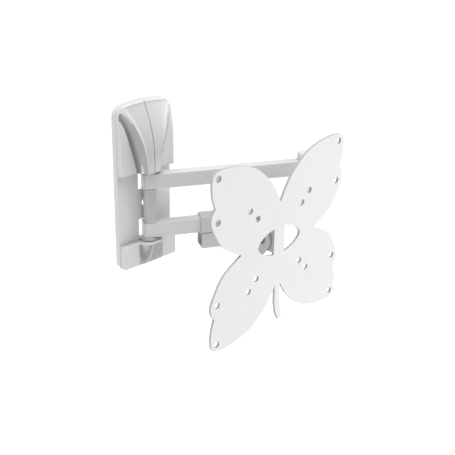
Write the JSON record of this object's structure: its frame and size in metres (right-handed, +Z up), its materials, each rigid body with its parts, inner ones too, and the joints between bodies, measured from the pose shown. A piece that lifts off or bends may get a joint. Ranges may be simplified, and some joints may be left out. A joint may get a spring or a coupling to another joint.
{
  "type": "full motion tv wall mount",
  "caption": "Full motion wall mount: slim wall plate with covers, double-bar hinged arm, second arm, swivel and tilt head, and butterfly-shaped VESA plate.",
  "frame": {"origin": "on the wall plane, at the middle of the wall plate's back rim", "axes": "+X along the wall to the right as the screen side sees it, +Y into the wall, +Z up"},
  "size_m": [0.271, 0.2085, 0.2454],
  "materials": {
    "white_steel": "fine powder coat, satin",
    "white_plastic": "fine texture, satin",
    "zinc_steel": "bright zinc",
    "dark_steel": "dark grey phosphate, satin",
    "nylon": "natural"
  },
  "bodies": {
    "wall": {"wall_plate": "white_steel", "upper_hinge_bracket": "white_steel", "lower_hinge_bracket": "white_steel", "upper_bracket_rivet_1": "zinc_steel", "upper_bracket_rivet_2": "zinc_steel", "lower_bracket_rivet_1": "zinc_steel", "lower_bracket_rivet_2": "zinc_steel", "upper_cover": "white_plastic", "lower_cover": "white_plastic", "wall_hinge_pin": "zinc_steel", "wall_hinge_nut": "zinc_steel"},
    "first_arm": {"upper_bar": "white_steel", "lower_bar": "white_steel", "upper_bar_wall_plug": "white_plastic", "upper_bar_elbow_plug": "white_plastic", "lower_bar_wall_plug": "white_plastic", "lower_bar_elbow_plug": "white_plastic", "wall_knuckle": "white_steel", "upper_wall_bush": "nylon", "lower_wall_bush": "nylon", "upper_wall_washer": "nylon", "lower_wall_washer": "nylon", "upper_elbow_bush": "nylon", "lower_elbow_bush": "nylon", "upper_elbow_washer": "nylon", "lower_elbow_washer": "nylon", "elbow_pin": "zinc_steel", "elbow_nut": "zinc_steel", "upper_elbow_cap": "white_plastic", "lower_elbow_cap": "white_plastic", "cable_clip": "white_plastic"},
    "second_arm": {"second_arm_bar": "white_steel", "elbow_barrel": "white_steel", "elbow_bush": "nylon", "swivel_barrel": "white_steel", "swivel_bush": "nylon"},
    "head": {"head_bracket": "white_steel", "swivel_pin": "zinc_steel", "swivel_nut": "zinc_steel", "tilt_bolt": "dark_steel", "tilt_nut": "zinc_steel", "left_tilt_washer": "nylon", "right_tilt_washer": "nylon"},
    "plate": {"vesa_plate": "white_steel", "tilt_spacer": "zinc_steel"}
  },
  "joints": [
    {"name": "wall_swivel", "type": "hinge", "parent": "wall", "child": "first_arm", "pos_m": [0, -0.0155, -0.029], "axis": [0, 0, 1], "range_deg": [-150, 25]},
    {"name": "elbow_swivel", "type": "hinge", "parent": "first_arm", "child": "second_arm", "pos_m": [0.18927, -0.11319, -0.029], "axis": [0, 0, 1], "range_deg": [-16, 134]},
    {"name": "head_swivel", "type": "hinge", "parent": "second_arm", "child": "head", "pos_m": [0.04039, -0.16301, -0.029], "axis": [0, 0, 1], "range_deg": [-50, 25]},
    {"name": "tilt", "type": "hinge", "parent": "head", "child": "plate", "pos_m": [0.04039, -0.18501, -0.029], "axis": [1, 0, 0], "range_deg": [-15, 15]}
  ]
}
